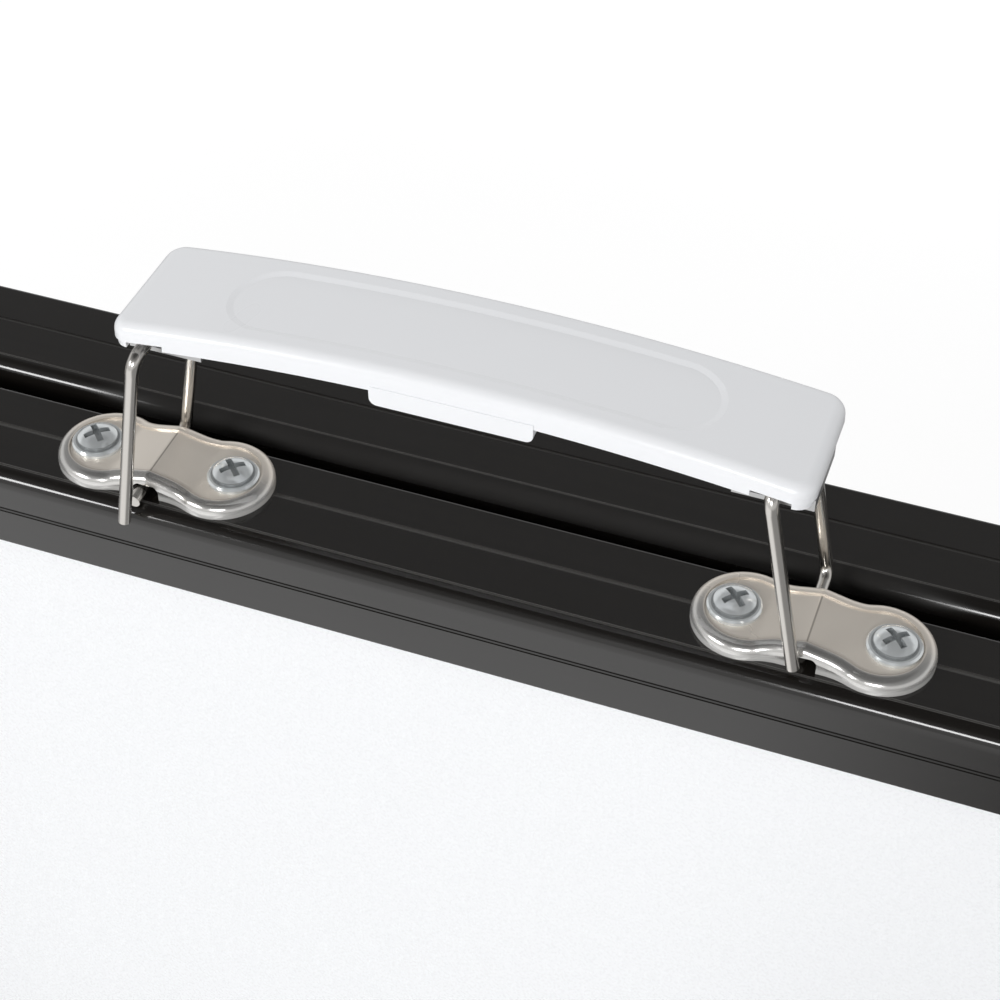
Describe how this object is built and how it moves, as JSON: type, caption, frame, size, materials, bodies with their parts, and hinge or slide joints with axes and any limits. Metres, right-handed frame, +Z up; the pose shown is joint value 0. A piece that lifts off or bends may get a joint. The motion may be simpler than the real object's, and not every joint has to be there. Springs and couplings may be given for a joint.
{
  "type": "portable whiteboard",
  "caption": "Folding double-sided tabletop whiteboard: framed white boards hinged at the top, with a wire and plastic carrying handle and side stays that hold it open.",
  "frame": {"origin": "middle of the footprint, at the bottom of the feet, with the boards closed", "axes": "+X to the right along the top rail as seen from the front board, +Y from the front board to the rear board, +Z up"},
  "size_m": [0.4154, 0.0478, 0.3506],
  "materials": {
    "frame_black": "gloss black on extruded aluminium",
    "cap_black": "gloss black moulding",
    "sheet_white": "smooth white dry-wipe coating on steel",
    "core_board": "plain light board",
    "plate_nickel": "nickel plate, satin top and polished rim",
    "wire_nickel": "polished nickel plate",
    "screw_zinc": "bright zinc plate",
    "grip_white": "gloss white moulding",
    "strap_steel": "plain spring steel",
    "foot_rubber": "matt black rubber",
    "hinge_nickel": "satin nickel plate",
    "stay_steel": "satin plated steel"
  },
  "bodies": {
    "front_panel": {"front_top_rail": "frame_black", "front_bottom_rail": "frame_black", "front_left_rail": "frame_black", "front_right_rail": "frame_black", "front_corner_cap_top_left": "cap_black", "front_corner_cap_top_right": "cap_black", "front_corner_cap_bottom_right": "cap_black", "front_corner_cap_bottom_left": "cap_black", "front_writing_sheet": "sheet_white", "front_core": "core_board", "front_back_sheet": "sheet_white", "front_feet": "foot_rubber", "handle_plate_left": "plate_nickel", "handle_plate_right": "plate_nickel", "handle_plate_screws": "screw_zinc", "hinge_left_front_leaf": "hinge_nickel", "hinge_right_front_leaf": "hinge_nickel", "hinge_left_pin": "hinge_nickel", "hinge_right_pin": "hinge_nickel", "hinge_front_screws": "screw_zinc", "stay_stud_left": "stay_steel", "stay_stud_right": "stay_steel"},
    "rear_panel": {"rear_top_rail": "frame_black", "rear_bottom_rail": "frame_black", "rear_left_rail": "frame_black", "rear_right_rail": "frame_black", "rear_corner_cap_top_left": "cap_black", "rear_corner_cap_top_right": "cap_black", "rear_corner_cap_bottom_right": "cap_black", "rear_corner_cap_bottom_left": "cap_black", "rear_writing_sheet": "sheet_white", "rear_core": "core_board", "rear_back_sheet": "sheet_white", "rear_feet": "foot_rubber", "rear_bumpers": "foot_rubber", "hinge_left_rear_leaf": "hinge_nickel", "hinge_right_rear_leaf": "hinge_nickel", "hinge_rear_screws": "screw_zinc", "stay_pivot_left": "stay_steel", "stay_pivot_right": "stay_steel"},
    "bail_left": {"bail_left": "wire_nickel"},
    "bail_right": {"bail_right": "wire_nickel"},
    "grip": {"grip_cover": "grip_white", "grip_under_shell": "grip_white", "grip_strap": "strap_steel"},
    "stay_left": {"stay_bar_left": "stay_steel"},
    "stay_right": {"stay_bar_right": "stay_steel"}
  },
  "joints": [
    {"name": "rear_panel_swing", "type": "hinge", "parent": "front_panel", "child": "rear_panel", "pos_m": [0, 0.00146, 0.3104], "axis": [1, 0, 0], "range_deg": [0, 50]},
    {"name": "handle_fold", "type": "hinge", "parent": "front_panel", "child": "bail_left", "pos_m": [-0.05455, -0.01206, 0.3092], "axis": [0, 1, 0], "range_deg": [-30, 30]},
    {"name": "grip_tilt", "type": "hinge", "parent": "bail_left", "child": "grip", "pos_m": [-0.04854, -0.01206, 0.34226], "axis": [0, 1, 0], "range_deg": [-35, 35]},
    {"name": "right_bail_fold", "type": "hinge", "parent": "front_panel", "child": "bail_right", "pos_m": [0.05305, -0.00823, 0.3092], "axis": [0, 1, 0], "range_deg": [-31, 31]},
    {"name": "stay_left_swing", "type": "hinge", "parent": "rear_panel", "child": "stay_left", "pos_m": [-0.20495, 0.01391, 0.15855], "axis": [-1, 0, 0], "range_deg": [0, 144]},
    {"name": "stay_right_swing", "type": "hinge", "parent": "rear_panel", "child": "stay_right", "pos_m": [0.20495, 0.01391, 0.15855], "axis": [-1, 0, 0], "range_deg": [0, 144]}
  ],
  "couplings": [
    {"joint": "grip_tilt", "follows": "handle_fold", "ratio": -1.135},
    {"joint": "right_bail_fold", "follows": "handle_fold", "ratio": 1}
  ]
}
